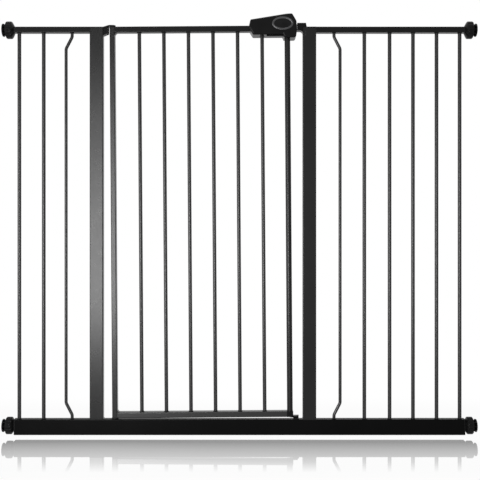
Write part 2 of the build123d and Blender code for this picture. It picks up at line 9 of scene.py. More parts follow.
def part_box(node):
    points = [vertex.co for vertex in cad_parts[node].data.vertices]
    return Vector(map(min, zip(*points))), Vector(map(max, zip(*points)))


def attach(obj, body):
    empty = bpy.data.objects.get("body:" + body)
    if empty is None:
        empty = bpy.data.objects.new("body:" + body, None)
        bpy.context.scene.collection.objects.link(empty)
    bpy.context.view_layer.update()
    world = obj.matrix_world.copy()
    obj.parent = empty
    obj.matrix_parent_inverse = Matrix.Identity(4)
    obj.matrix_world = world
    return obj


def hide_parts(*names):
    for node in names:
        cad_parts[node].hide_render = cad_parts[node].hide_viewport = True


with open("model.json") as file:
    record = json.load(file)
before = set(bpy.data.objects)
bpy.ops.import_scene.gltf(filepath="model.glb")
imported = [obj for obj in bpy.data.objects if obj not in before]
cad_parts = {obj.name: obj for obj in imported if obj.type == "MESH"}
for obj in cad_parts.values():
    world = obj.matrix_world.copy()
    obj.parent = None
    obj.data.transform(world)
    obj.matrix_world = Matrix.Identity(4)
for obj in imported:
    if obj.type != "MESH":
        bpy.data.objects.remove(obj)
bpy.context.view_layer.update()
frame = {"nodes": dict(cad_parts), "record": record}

# What the frame says about the pieces
MM = 0.001
RECORD = frame["record"]
SLOT = {s["node"]: s["material_slot"] for s in RECORD["subparts"]}
BODY = {n: b for b, members in RECORD["behaviour"]["bodies"].items() for n in members}
SWING = next(j for j in RECORD["behaviour"]["joints"] if j["name"] == "door_swing")

# The door leans as a whole about its lower hinge
HINGE_X, _, HINGE_Z = SWING["pos_m"]
DOOR_LEAN = math.atan2(SWING["axis"][0], -SWING["axis"][2])
LEAN = (
    Matrix.Translation((HINGE_X, 0, HINGE_Z))
    @ Matrix.Rotation(-DOOR_LEAN, 4, "Y")
    @ Matrix.Translation((-HINGE_X, 0, -HINGE_Z))
)
UPRIGHT = LEAN.inverted()


def upright_points(node):
    """Corner points of a door piece's mesh, set back upright."""
    return [UPRIGHT @ v.co for v in frame["nodes"][node].data.vertices]


def corners(points):
    """Low and high corner of the box round some points."""
    low = Vector(min(p[i] for p in points) for i in range(3))
    high = Vector(max(p[i] for p in points) for i in range(3))
    return low, high


def middle(box):
    """Middle of a box given by its low and high corner."""
    return (box[0] + box[1]) / 2


def extent(box):
    """Size of a box given by its low and high corner."""
    return box[1] - box[0]


# Sizes read off the solids, in metres
BOTTOM_RAIL_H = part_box("bottom_rail")[1].z
TUBE_DEPTH = extent(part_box("bottom_rail")).y
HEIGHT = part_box("left_top_rail")[1].z
RAIL_H = extent(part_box("left_top_rail")).z
POST_W = extent(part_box("left_post")).x
BENT_BAR_R = extent(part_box("left_bent_bar")).y / 2
DOOR_BOTTOM = corners(upright_points("door_bottom_rail"))[0].z
DOOR_RAIL_X = corners(upright_points("door_bottom_rail"))[0].x
BADGE = corners(upright_points("badge_ring"))
BADGE_FIELD = corners(upright_points("badge_plate"))
HANDLE_FACE_Y = corners(upright_points("handle_front"))[0].y

# Sizes of the finer forms
TUBE_CORNER = 2 * MM
BAR_FLARE = 1.2 * MM       # how far the solids' bars widen at their ends
MOULD_EDGE = 0.4 * MM      # rounding of moulded edges
SAME_POINT = 0.002 * MM    # corners this close are one

BAR_BEAD_R = 1.1 * MM
POST_BEAD_R = 1.3 * MM
RAIL_BEAD_R = 0.9 * MM
BEAD_OUT = 0.5 * MM        # middle of a bar's bead, off the bar's side
BEAD_RISE = 0.3 * MM       # and off the rail
RAIL_BEAD_SINK_Y = 0.8 * MM  # middle of a rail's bead, in from the rail's faces
RAIL_BEAD_SINK_Z = 0.5 * MM
BEAD_SIDES = 7
BEAD_STEPS = 20            # round a bar
BEAD_STEP = 2.6 * MM       # along a tube's sides
CORNER_POINTS = 4          # on a tube corner's arc
RIPPLE = 0.14              # share by which even ripples swell a bead
RIPPLE_TURN = 2.1          # radians of ripple from one step to the next
UNEVEN = 0.22              # share by which a bead is uneven
UNEVEN_SCALE = 700         # bumps of that kind in a metre

WEB_LOW = 6 * MM
WEB_TOP = 8 * MM
WEB_DEPTH = 0.8            # share of the tube's depth
WEB_EDGE = 0.8 * MM        # depth over which a web narrows to this share
WEB_EDGE_SHARE = 0.9
WEB_STEPS = 10

SPINDLE_R = 4 * MM
THREAD_ROOT_R = 3.25 * MM
THREAD_TOP_R = SPINDLE_R - 0.02 * MM
THREAD_PITCH = 3 * MM
THREAD_STEPS = 24          # in a turn
ROD_END_R = THREAD_ROOT_R + 0.15 * MM
ROD_BEVEL = 0.4 * MM

WHEEL_RUN = 0.06 * MM      # between the wheel's bore and the spindle
FLUTES = 14
FLUTE_R = 2.3 * MM
FLUTE_OUT = FLUTE_R / 3    # middle of a flute, outside the rim
FLUTE_ROUND = 0.7 * MM     # over which a flute's edge is rounded
FLUTE_STEPS = 18
GRIP_SHARE = 0.8           # flutes cut what lies further out than this share of the radius

SPRING_WIRE_R = 0.42 * MM
SPRING_TURNS = 9
SPRING_STEPS = 22          # in a turn
SPRING_SIDES = 8
SPRING_CLOSE = 0.35        # share by which the end turns lie closer

BADGE_GAP = 0.1 * MM       # between the badge's band and its field
FIELD_BACK = 1.0 * MM      # behind the handle's face
FIELD_EDGE = 0.05 * MM
FIELD_RISE = 0.2 * MM      # in front of the handle's face, at the field's rim
FIELD_DOME = 0.65 * MM     # and how much more at its middle

SCREW_HEAD_R = 2.95 * MM
SCREW_HEAD_L = 2.2 * MM
SCREW_HEAD_RIM = 1.2 * MM  # straight stretch of the head's side
SCREW_SHOULDER_R = 2.6 * MM
SCREW_SHOULDER = 0.4 * MM  # shoulder below the head's top
SCREW_TOP_R = 2.2 * MM
SCREW_R = 1.45 * MM
SCREW_TIP_R = 0.7 * MM
SCREW_TIP_L = 2 * MM
SCREW_FACE = 0.1 * MM      # corners this near the highest one lie on a head's face
CROSS_ARM = 1.7 * MM
CROSS_HALF = 0.38 * MM     # half the width of a recess's arm
CROSS_DEPTH = 1.1 * MM
CROSS_TAPER = 0.7          # recess's floor, as a share of its mouth
RIVET_HEAD_R = 2.5 * MM
RIVET_R = 1.55 * MM

# Stage: the floor lies just under the gate, and its mirror image fades with the distance from the gate
FLOOR_Z = -8 * MM
FLOOR_HALF = 6.0
FLOOR_BLUR = 0.02
FLOOR_WHITE = 0.9
# Shares at distances in metres from the gate
FLOOR_SHADOW = ((0.0, 0.15), (0.5, 0.0))
FLOOR_MIRROR = ((0.0, 0.8), (0.06, 0.62), (0.12, 0.48), (0.22, 0.3), (0.3, 0.0))
SURROUND = 0.45            # white surround's strength as a source of light

# Black finishes reflect little head-on and stay black in a white room; bars shine most, the low rail least,
# and the low rail's paint is also a darker grey, as painted shade
POST_GLOSS = 0.2
RAIL_GLOSS = 0.1
LOW_RAIL_GLOSS = 0.04
BAR_GLOSS = 0.36
PLASTIC_GLOSS = 0.08

# Dark and light end of a finish's grey, low and high end of its roughness
COOL = 1.02                # blue, against red and green
PAINT = (0.0034, 0.0058)
# painted shade: the bottom rail's grey is darker than the same coat on the other tubes
PAINTED_SHADE_GREY_LOW_RAIL = (0.0014, 0.0023)
RIVET_GREY = (0.008, 0.016)
POST_SATIN = (0.272, 0.288)
TUBE_SATIN = (0.292, 0.308)
RIVET_SATIN = (0.26, 0.34)
MOULD_GREY = (0.003, 0.005)
MOULD_SATIN = (0.2, 0.28)


# Materials

def new_material(name):
    """Empty material and its shader."""
    material = bpy.data.materials.new(name)
    material.use_nodes = True
    nodes = material.node_tree.nodes
    nodes.clear()
    out = nodes.new("ShaderNodeOutputMaterial")
    shader = nodes.new("ShaderNodeBsdfPrincipled")
    material.node_tree.links.new(shader.outputs["BSDF"], out.inputs["Surface"])
    return material, shader


def grain(material, scale, detail=3.0, stretch=(1, 1, 1)):
    """Noise in the object's own metres."""
    tree = material.node_tree
    coords = tree.nodes.new("ShaderNodeTexCoord")
    mapping = tree.nodes.new("ShaderNodeMapping")
    mapping.inputs["Scale"].default_value = stretch
    texture = tree.nodes.new("ShaderNodeTexNoise")
    texture.inputs["Scale"].default_value = scale
    texture.inputs["Detail"].default_value = detail
    tree.links.new(coords.outputs["Object"], mapping.inputs["Vector"])
    tree.links.new(mapping.outputs["Vector"], texture.inputs["Vector"])
    return texture.outputs["Fac"]


def spread(material, source, low, high, from_low=0.3, from_high=0.7):
    """Maps the middle part of a pattern's range to a range of values."""
    node = material.node_tree.nodes.new("ShaderNodeMapRange")
    node.inputs["From Min"].default_value = from_low
    node.inputs["From Max"].default_value = from_high
    node.inputs["To Min"].default_value = low
    node.inputs["To Max"].default_value = high
    material.node_tree.links.new(source, node.inputs["Value"])
    return node.outputs["Result"]


def tint(material, source, dark, light):
    """Grey that runs from dark to light with a pattern, a little cool."""
    mix = material.node_tree.nodes.new("ShaderNodeMix")
    mix.data_type = "RGBA"
    mix.inputs["A"].default_value = (dark, dark, dark * COOL, 1)
    mix.inputs["B"].default_value = (light, light, light * COOL, 1)
    material.node_tree.links.new(source, mix.inputs["Factor"])
    return mix.outputs["Result"]


def bump(material, shader, source, strength, height):
    """Lets a pattern roughen the surface."""
    node = material.node_tree.nodes.new("ShaderNodeBump")
    node.inputs["Strength"].default_value = strength
    node.inputs["Distance"].default_value = height
    material.node_tree.links.new(source, node.inputs["Height"])
    material.node_tree.links.new(node.outputs["Normal"], shader.inputs["Normal"])


def finish(name, dark, light, rough, cloud_scale, fine_scale, fine_stretch=(1, 1, 1)):
    """Cloudy colour over a fine grain that varies the gloss; gives the material, its shader and the grain."""
    material, shader = new_material(name)
    links = material.node_tree.links
    cloud = spread(material, grain(material, cloud_scale), 0, 1)
    fine = grain(material, fine_scale, detail=2, stretch=fine_stretch)
    links.new(tint(material, cloud, dark, light), shader.inputs["Base Color"])
    links.new(spread(material, fine, *rough), shader.inputs["Roughness"])
    return material, shader, fine


def powder_coat(name, dark, light, rough, gloss):
    """Satin black powder coat with a faint orange peel."""
    material, shader, _ = finish(name, dark, light, rough, cloud_scale=9, fine_scale=60)
    shader.inputs["Specular IOR Level"].default_value = gloss
    bump(material, shader, grain(material, scale=260, detail=2), strength=0.005, height=0.1 * MM)
    return material


def moulding(name, dark, light, rough):
    """Moulded plastic with a fine spark-eroded grain."""
    material, shader, fine = finish(name, dark, light, rough, cloud_scale=30, fine_scale=1500)
    shader.inputs["Specular IOR Level"].default_value = PLASTIC_GLOSS
    bump(material, shader, fine, strength=0.05, height=0.05 * MM)
    return material


def bare_metal(name, dark, light, rough):
    """Metal with drawn lines and a faint mottle."""
    lengthwise = (0.05, 1, 1)
    material, shader, lines = finish(name, dark, light, rough, cloud_scale=120, fine_scale=900,
                                     fine_stretch=lengthwise)
    shader.inputs["Metallic"].default_value = 1.0
    bump(material, shader, lines, strength=0.12, height=0.04 * MM)
    return material


MATERIALS = {
    "frame_paint": powder_coat("frame_paint", *PAINT, POST_SATIN, POST_GLOSS),
    "rivet_paint": powder_coat("rivet_paint", *RIVET_GREY, RIVET_SATIN, POST_GLOSS),
    "moulded_plastic": moulding("moulded_plastic", *MOULD_GREY, MOULD_SATIN),
    "lock_plastic": moulding("lock_plastic", dark=0.02, light=0.03, rough=(0.34, 0.45)),
    "wheel_plastic": moulding("wheel_plastic", *MOULD_GREY, MOULD_SATIN),
    "foot_plastic": moulding("foot_plastic", *MOULD_GREY, MOULD_SATIN),
    "plug_plastic": moulding("plug_plastic", dark=0.006, light=0.01, rough=(0.36, 0.46)),
    "badge_field": moulding("badge_field", dark=0.004, light=0.008, rough=(0.16, 0.26)),
    "badge_silver": bare_metal("badge_silver", dark=0.05, light=0.066, rough=(0.28, 0.4)),
    "zinc_steel": bare_metal("zinc_steel", dark=0.46, light=0.6, rough=(0.24, 0.42)),
}

RAIL_PAINT = powder_coat("rail_paint", *PAINT, TUBE_SATIN, RAIL_GLOSS)
# painted shade: a darker, duller copy of the rail paint for the bottom rail
PAINTED_SHADE_LOW_RAIL = powder_coat("low_rail_with_painted_shade", *PAINTED_SHADE_GREY_LOW_RAIL, TUBE_SATIN, LOW_RAIL_GLOSS)
BAR_PAINT = powder_coat("bar_paint", *PAINT, TUBE_SATIN, BAR_GLOSS)


def node_material(name):
    """A node's finish: that of its slot, with the coat's gloss as bars and rails show it, and painted shade
    as a darker grey on the bottom rail.
    """
    if "_bar" in name or name == "door_bottom_rail":
        return BAR_PAINT
    # painted shade: the bottom rail gets the darker copy of the paint
    if name == "bottom_rail":
        return PAINTED_SHADE_LOW_RAIL
    if name.endswith("_rail"):
        return RAIL_PAINT
    return MATERIALS[SLOT[name]]


for name, obj in frame["nodes"].items():
    obj.data.materials.clear()
    obj.data.materials.append(node_material(name))


# Mesh helpers

def piece(name, bm, slot, body, sharp=35, place=None):
    """Turns a bmesh into a piece that rides on a body, with edges of more than sharp degrees kept sharp."""
    if place is not None:
        bmesh.ops.transform(bm, matrix=place, verts=bm.verts)
    bmesh.ops.recalc_face_normals(bm, faces=bm.faces)
    mesh = bpy.data.meshes.new(name)
    bm.to_mesh(mesh)
    bm.free()
    mesh.shade_smooth()
    mesh.set_sharp_from_angle(angle=math.radians(sharp))
    mesh.materials.append(MATERIALS[slot])
    obj = bpy.data.objects.new(name, mesh)
    bpy.context.scene.collection.objects.link(obj)
    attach(obj, body)
    return obj


def stand_in(node, form, bm, sharp=35, place=None):
    """Piece shown in place of a node, with the node's slot and body."""
    obj = piece(f"{node}.{form}", bm, SLOT[node], BODY[node], sharp, place)
    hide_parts(node)
    return obj


def weigh_normals(mesh):
    """Lets each corner's shading follow its largest faces, so that flats stay flat beside rounded edges."""
    sums = [Vector((0, 0, 0)) for _ in mesh.vertices]
    for face in mesh.polygons:
        for corner in face.vertices:
            sums[corner] += face.normal * face.area
    mesh.normals_split_custom_set_from_vertices([s.normalized() for s in sums])


def softened(node, width, segments=2, angle=40):
    """Stands for a node with its sharp edges rounded off, as moulded or deburred pieces have them."""
    bm = bmesh.new()
    bm.from_mesh(frame["nodes"][node].data)
    bmesh.ops.remove_doubles(bm, verts=bm.verts, dist=SAME_POINT)
    flat = math.radians(0.6)
    bmesh.ops.dissolve_limit(bm, angle_limit=flat, verts=bm.verts, edges=bm.edges)
    limit = math.radians(angle)
    sharp = [e for e in bm.edges if len(e.link_faces) == 2 and e.calc_face_angle(0) > limit]
    bmesh.ops.bevel(bm, geom=sharp, offset=width, offset_type="OFFSET", segments=segments, profile=0.5,
                    affect="EDGES", clamp_overlap=True, loop_slide=True)
    weigh_normals(stand_in(node, "soft", bm).data)


def grid(bm, rows, close_rows=False, close_columns=False):
    """Joins rows of points into quads."""
    verts = [[bm.verts.new(p) for p in row] for row in rows]
    n, m = len(verts), len(verts[0])
    for i in range(n if close_rows else n - 1):
        for j in range(m if close_columns else m - 1):
            a, b = verts[i], verts[(i + 1) % n]
            k = (j + 1) % m
            bm.faces.new([a[j], a[k], b[k], b[j]])
    return verts


def tube(bm, rows):
    """Joins closed rows of points into a skin with both ends shut."""
    verts = grid(bm, rows, close_columns=True)
    bm.faces.new(verts[0])
    bm.faces.new(verts[-1])
    return verts


def turns(count):
    """Angles of a full turn."""
    return [2 * math.pi * k / count for k in range(count)]


def bead(bm, path, radius, seed):
    """Weld bead along a closed path of (point, outward) pairs: a roll half sunk in the metal.

    The seed shifts its ripples.
    """
    rows = []
    total = len(path)
    shift = Vector((seed, 0, 0))
    for i, (point, outward) in enumerate(path):
        along = (path[(i + 1) % total][0] - path[i - 1][0]).normalized()
        up = outward.cross(along).normalized()
        ripple = RIPPLE * math.sin(i * RIPPLE_TURN + seed)
        wave = 1 + ripple + UNEVEN * noise.noise(point * UNEVEN_SCALE + shift)
        ring = [outward * math.cos(a) + up * math.sin(a) for a in turns(BEAD_SIDES)]
        rows.append([point + spoke * radius * wave for spoke in ring])
    grid(bm, rows, close_rows=True, close_columns=True)


def round_path(x, z, radius):
    """Closed level path round an upright bar, with the direction away from its middle."""
    path = []
    for a in turns(BEAD_STEPS):
        outward = Vector((math.cos(a), math.sin(a), 0))
        path.append((Vector((x, 0, z)) + outward * radius, outward))
    return path


def box_path(centre, u, v, half_u, half_v, corner):
    """Closed path round a rounded rectangle spanned by u and v, with the direction away from its middle."""
    centre, u, v = Vector(centre), Vector(u), Vector(v)
    path = []
    quarters = [(1, 1, 0), (-1, 1, 90), (-1, -1, 180), (1, -1, 270)]
    for n, (su, sv, start) in enumerate(quarters):
        hub = centre + u * su * (half_u - corner) + v * sv * (half_v - corner)
        for k in range(CORNER_POINTS):
            turn = math.radians(start + 90 * k / (CORNER_POINTS - 1))
            outward = u * math.cos(turn) + v * math.sin(turn)
            path.append((hub + outward * corner, outward))
        nu, nv, _ = quarters[(n + 1) % len(quarters)]
        end = centre + u * nu * (half_u - corner) + v * nv * (half_v - corner) + outward * corner
        here = path[-1][0]
        count = max(1, int((end - here).length / BEAD_STEP))
        for k in range(1, count):
            path.append((here.lerp(end, k / count), outward.copy()))
    return path


# Welds

def bar_beads(bm, x, low, high, radius, seed):
    """A bead round each end of an upright bar."""
    ring = radius + BEAD_OUT
    bead(bm, round_path(x, low + BEAD_RISE, ring), BAR_BEAD_R, seed)
    bead(bm, round_path(x, high - BEAD_RISE, ring), BAR_BEAD_R, seed + 0.5)


def rail_bead(bm, x, z, seed):
    """A bead round the end of a level rail."""
    half_y = TUBE_DEPTH / 2 - RAIL_BEAD_SINK_Y
    half_z = RAIL_H / 2 - RAIL_BEAD_SINK_Z
    bead(bm, box_path((x, 0, z), (0, 1, 0), (0, 0, 1), half_y, half_z, TUBE_CORNER), RAIL_BEAD_R, seed)


def weld_frame():
    """Beads at the frame's bars, posts and top rails."""
    bm = bmesh.new()
    low, high = BOTTOM_RAIL_H, HEIGHT - RAIL_H
    seed = 0
    for name in sorted(frame["nodes"]):
        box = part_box(name)
        seed += 1
        if name.startswith(("left_bar_", "right_bar_")):
            bar_beads(bm, middle(box).x, low, high, extent(box).x / 2 - BAR_FLARE, seed)
        elif name == "left_bent_bar":
            bar_beads(bm, box[1].x - BENT_BAR_R, low, high, BENT_BAR_R, seed)
        elif name == "right_bent_bar":
            bar_beads(bm, box[0].x + BENT_BAR_R, low, high, BENT_BAR_R, seed)
        elif name in ("left_post", "right_post"):
            foot = (middle(box).x, 0, low)
            ring = box_path(foot, (1, 0, 0), (0, 1, 0), POST_W / 2, TUBE_DEPTH / 2, TUBE_CORNER)
            bead(bm, ring, POST_BEAD_R, seed)
            rail_bead(bm, box[0].x if name == "left_post" else box[1].x, HEIGHT - RAIL_H / 2, seed + 0.5)
    piece("frame_welds", bm, "frame_paint", "frame")


def weld_door():
    """Beads at the door's bars and rails, made upright and then leaned."""
    bm = bmesh.new()
    low, high = DOOR_BOTTOM + RAIL_H, HEIGHT - RAIL_H
    for i, name in enumerate(sorted(n for n in frame["nodes"] if n.startswith("door_bar_"))):
        box = corners(upright_points(name))
        bar_beads(bm, middle(box).x, low, high, extent(box).x / 2 - BAR_FLARE, i)
    rail_bead(bm, DOOR_RAIL_X, DOOR_BOTTOM + RAIL_H / 2, seed=10)
    rail_bead(bm, DOOR_RAIL_X, HEIGHT - RAIL_H / 2, seed=11)
    piece("door_welds", bm, "frame_paint", "door", place=LEAN)


def corner_web(name, z, up, reach):
    """Small concave web in the corner between the hinge tube and a door rail."""
    bm = bmesh.new()
    outline = [(0, 0)]
    for k in range(WEB_STEPS + 1):
        turn = math.radians(270 - 90 * k / WEB_STEPS)
        outline.append((reach + reach * math.cos(turn), reach + reach * math.sin(turn)))
    half = TUBE_DEPTH * WEB_DEPTH / 2
    inner = half - WEB_EDGE
    rows = []
    for y, share in ((-half, WEB_EDGE_SHARE), (-inner, 1), (inner, 1), (half, WEB_EDGE_SHARE)):
        rows.append([Vector((DOOR_RAIL_X + u * share, y, z + up * v * share)) for u, v in outline])
    tube(bm, rows)
    piece(name, bm, "frame_paint", "door", place=LEAN)


# Wheels, spindles and spring

def smooth_min(a, b, k):
    """The lesser of two values, rounded where they are less than k apart."""
    h = max(k - abs(a - b), 0) / k
    return min(a, b) - h * h * k / 4


def flute_reach(turn, radius):
    """How far out the wheel's material may go at an angle; past the rim where no flute cuts it."""
    pitch = 2 * math.pi / FLUTES
    off = (turn + pitch / 2) % pitch - pitch / 2
    centre = radius + FLUTE_OUT
    side = abs(centre * math.sin(off))
    if side >= FLUTE_R:
        return 2 * radius
    return centre * math.cos(off) - math.sqrt(FLUTE_R ** 2 - side ** 2)


def wheel_mesh(length, radius):
    """Fluted hand wheel along +X: tapered hub, grip with rounded flutes, dished outer face."""
    # Stretches of the profile, as places along the axle and radii in millimetres
    end = length / MM
    r = radius / MM
    bore = (SPINDLE_R + WHEEL_RUN) / MM
    edge = FLUTE_ROUND / MM
    hub = [(0, bore), (0, 10.4), (0.3, 11.2), (0.9, 12.4)]
    cone = [(3.2, r - 5.2), (5.3, r - 1.8), (6.0, r - 0.8), (6.8, r - 0.2)]
    grip = [(7.8, r), (end / 2, r), (end - 4, r), (end - 2, r)]
    rim = [(end - 1, r - 0.25), (end - 0.3, r - 0.8), (end, r - 1.6), (end, r - 4.8)]
    dish = [(end - 0.4, r - 5.5), (end - 1.2, r - 6), (end - 1.2, 10.6), (end - 0.8, 9.8)]
    boss = [(end, 9.3), (end, 6), (end, bore)]
    profile = hub + cone + grip + rim + dish + boss
    bm = bmesh.new()
    rows = []
    for turn in turns(FLUTES * FLUTE_STEPS):
        reach = flute_reach(turn, radius) / MM
        row = []
        for x, out in profile:
            out = smooth_min(out, reach, edge) if out > GRIP_SHARE * r else out
            row.append(Vector((x, out * math.sin(turn), out * math.cos(turn))) * MM)
        rows.append(row)
    grid(bm, rows, close_rows=True, close_columns=True)
    return bm


def rod_ring(x, radius, count=24):
    """Ring of points about the X axis."""
    return [Vector((x, radius * math.sin(a), radius * math.cos(a))) for a in turns(count)]


def thread_mesh(length):
    """Threaded rod along +X: trapezoid ridge on a continuous helix over a plain core."""
    # Shares of the pitch, each with its radius
    root, top = THREAD_ROOT_R, THREAD_TOP_R
    across = [(0.0, root), (0.2, root), (0.38, top), (0.62, top), (0.8, root), (1.0, root)]
    bm = bmesh.new()
    rounds = int(length / THREAD_PITCH) - 1
    rows = []
    for i in range(rounds * THREAD_STEPS + 1):
        turn = 2 * math.pi * i / THREAD_STEPS
        start = THREAD_PITCH * i / THREAD_STEPS
        rows.append([Vector((start + u * THREAD_PITCH, r * math.sin(turn), r * math.cos(turn)))
                     for u, r in across])
    grid(bm, rows)
    bmesh.ops.remove_doubles(bm, verts=bm.verts, dist=SAME_POINT / 2)
    tip = ROD_END_R - ROD_BEVEL
    for x0, x1 in ((0, THREAD_PITCH), (rounds * THREAD_PITCH, length)):
        ring_low = rod_ring(x0 + ROD_BEVEL, ROD_END_R)
        ring_high = rod_ring(x1 - ROD_BEVEL, ROD_END_R)
        tube(bm, [rod_ring(x0, tip), ring_low, ring_high, rod_ring(x1, tip)])
    return bm


def adjusters():
    """Wheels, threads, feet and plugs at the gate's four corners."""
    for side in ("left", "right"):
        mirror = Matrix.Scale(-1, 4, (1, 0, 0)) if side == "left" else Matrix.Identity(4)
        for level in ("bottom", "top"):
            wheel, spindle = f"{side}_{level}_wheel", f"{side}_{level}_spindle"
            for node, form in ((wheel, "grip"), (spindle, "thread")):
                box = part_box(node)
                inner = min(abs(box[0].x), abs(box[1].x))
                place = mirror @ Matrix.Translation((inner, 0, middle(box).z))
                size = extent(box)
                bm = wheel_mesh(size.x, size.y / 2) if node == wheel else thread_mesh(size.x)
                stand_in(node, form, bm, sharp=30, place=place)
            softened(f"{side}_{level}_foot", MOULD_EDGE)
            softened(f"{side}_{level}_plug", MOULD_EDGE)


def spring():
    """Coil in the place of the lock spring's plain sleeve."""
    box = corners(upright_points("lock_spring"))
    length = extent(box).x
    radius = extent(box).z / 2 - SPRING_WIRE_R
    bm = bmesh.new()
    rows = []
    steps = SPRING_STEPS * SPRING_TURNS
    along = Vector((1, 0, 0))
    for i in range(steps + 1):
        t = i / steps
        closed_up = t - SPRING_CLOSE * math.sin(2 * math.pi * t) / (2 * math.pi)
        turn = 2 * math.pi * SPRING_TURNS * t
        outward = Vector((0, math.sin(turn), math.cos(turn)))
        point = along * (SPRING_WIRE_R + (length - 2 * SPRING_WIRE_R) * closed_up) + outward * radius
        ring = [outward * math.cos(a) + along * math.sin(a) for a in turns(SPRING_SIDES)]
        rows.append([point + spoke * SPRING_WIRE_R for spoke in ring])
    tube(bm, rows)
    start = Matrix.Translation((box[0].x, 0, middle(box).z))
    stand_in("lock_spring", "coil", bm, sharp=60, place=LEAN @ start)


# Handle trim

def oval_ring(rx, rz, y, count=96):
    """Oval of points round the badge's middle, y behind the handle's face."""
    centre = middle(BADGE)
    return [Vector((centre.x + rx * math.cos(a), HANDLE_FACE_Y + y, centre.z + rz * math.sin(a)))
            for a in turns(count)]


def badge_ring():
    """Oval band with a rolled front."""
    rx, rz = extent(BADGE).x / 2, extent(BADGE).z / 2
    band = rx - extent(BADGE_FIELD).x / 2 - BADGE_GAP
    # Shares of the band's width, each with millimetres behind the handle's face
    profile = [(0.0, 1.0), (0.0, -0.1), (0.06, -0.6), (0.16, -0.98), (0.3, -1.16), (0.5, -1.2), (0.7, -1.1),
               (0.84, -0.85), (0.94, -0.4), (1.0, 0.1), (1.0, 1.0)]
    bm = bmesh.new()
    rows = [oval_ring(rx - band * t, rz - band * t, y * MM) for t, y in profile]
    grid(bm, rows, close_rows=True, close_columns=True)
    stand_in("badge_ring", "rolled", bm, sharp=40, place=LEAN)


def badge_plate():
    """Bare field with a shallow dome."""
    rx, rz = extent(BADGE_FIELD).x / 2, extent(BADGE_FIELD).z / 2
    bm = bmesh.new()
    rows = [oval_ring(rx, rz, FIELD_BACK), oval_ring(rx, rz, FIELD_EDGE)]
    for share in (0.985, 0.95, 0.85, 0.7, 0.5, 0.3, 0.12):
        rise = FIELD_RISE + FIELD_DOME * (1 - share ** 2)
        rows.append(oval_ring(rx * share, rz * share, -rise))
    tube(bm, rows)
    stand_in("badge_plate", "domed", bm, sharp=40, place=LEAN)


def turned_y(bm, x, z, points, count=28, shut=True):
    """Turned form about Y from (y, radius) points; gives its rows of corners."""
    rows = [[Vector((x + r * math.cos(a), y, z + r * math.sin(a))) for a in turns(count)] for y, r in points]
    verts = grid(bm, rows, close_columns=True)
    bm.faces.new(verts[0])
    if shut:
        bm.faces.new(verts[-1])
    return verts


def rivet_heads():
    """Domed heads, slightly dimpled, on the keeper's two rivets."""
    bm = bmesh.new()
    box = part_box("keeper_rivets")
    face = -TUBE_DEPTH / 2
    # Millimetres in front of the post's face, each with a share of the head's radius
    head = [(0.02, 0.98), (0.3, 1.0), (0.65, 0.88), (0.9, 0.6), (1.0, 0.32), (0.92, 0.12)]
    for z in (box[1].z - RIVET_HEAD_R, box[0].z + RIVET_HEAD_R):
        points = [(box[1].y, RIVET_R), (face, RIVET_R)]
        points += [(face - out * MM, RIVET_HEAD_R * share) for out, share in head]
        turned_y(bm, middle(box).x, z, points)
    stand_in("keeper_rivets", "domed", bm, sharp=50)


def screw_spots():
    """Middles of the screw heads on the handle's rear, in the upright door."""
    points = upright_points("handle_screws")
    top = max(p.y for p in points)
    groups = []
    for p in points:
        if p.y < top - SCREW_FACE:
            continue
        home = next((g for g in groups if (g[0] - p).length < 3 * SCREW_HEAD_R), None)
        if home is None:
            groups.append([p])
        else:
            home.append(p)
    return [middle(corners(g)) for g in groups]


def screw_heads():
    """Pan heads with a cross recess, sunk in the rear shell."""
    bm = bmesh.new()
    tip = min(p.y for p in upright_points("handle_screws"))
    arm, half = CROSS_ARM, CROSS_HALF
    cross = [(half, half), (half, arm), (-half, arm), (-half, half), (-arm, half), (-arm, -half),
             (-half, -half), (-half, -arm), (half, -arm), (half, -half), (arm, -half), (arm, half)]
    for spot in screw_spots():
        x, top, z = spot
        neck = top - SCREW_HEAD_L
        rows = turned_y(bm, x, z, [
            (tip, SCREW_TIP_R), (tip + SCREW_TIP_L, SCREW_R), (neck, SCREW_R), (neck, SCREW_HEAD_R),
            (neck + SCREW_HEAD_RIM, SCREW_HEAD_R), (top - SCREW_SHOULDER, SCREW_SHOULDER_R),
            (top, SCREW_TOP_R),
        ], shut=False)
        outer = rows[-1]
        inner = [bm.verts.new((x + u, top, z + v)) for u, v in cross]
        floor_y = top - CROSS_DEPTH
        floor = [bm.verts.new((x + CROSS_TAPER * u, floor_y, z + CROSS_TAPER * v)) for u, v in cross]
        edges = [bm.edges.get((outer[k - 1], outer[k])) for k in range(len(outer))]
        edges += [bm.edges.new((inner[k - 1], inner[k])) for k in range(len(inner))]
        bmesh.ops.triangle_fill(bm, use_beauty=True, use_dissolve=False, edges=edges)
        for k in range(len(inner)):
            bm.faces.new([inner[k - 1], inner[k], floor[k], floor[k - 1]])
        bm.faces.new(floor)
    stand_in("handle_screws", "cross", bm, sharp=40, place=LEAN)


weld_frame()
weld_door()
corner_web("corner_web_low", DOOR_BOTTOM + RAIL_H, up=1, reach=WEB_LOW)
corner_web("corner_web_top", HEIGHT - RAIL_H, up=-1, reach=WEB_TOP)
adjusters()
spring()
badge_ring()
badge_plate()
rivet_heads()
screw_heads()

# Rounding of edges, in millimetres
SOFT_EDGES = {
    "keeper": 0.7, "top_hinge_bracket": 0.25, "door_foot": 0.7, "door_stop": 0.5, "thumb_slide": 0.5,
    "lock_bolt": 0.6, "hinge_washer": 0.3, "handle_front": 0.4, "handle_rear": 0.4, "top_hinge_bush": 0.4,
    "bottom_hinge_bush": 0.4, "top_hinge_pin": 0.5, "bottom_hinge_pin": 0.5,
}
for node, width in SOFT_EDGES.items():
    softened(node, width * MM)


# Stage, light and camera

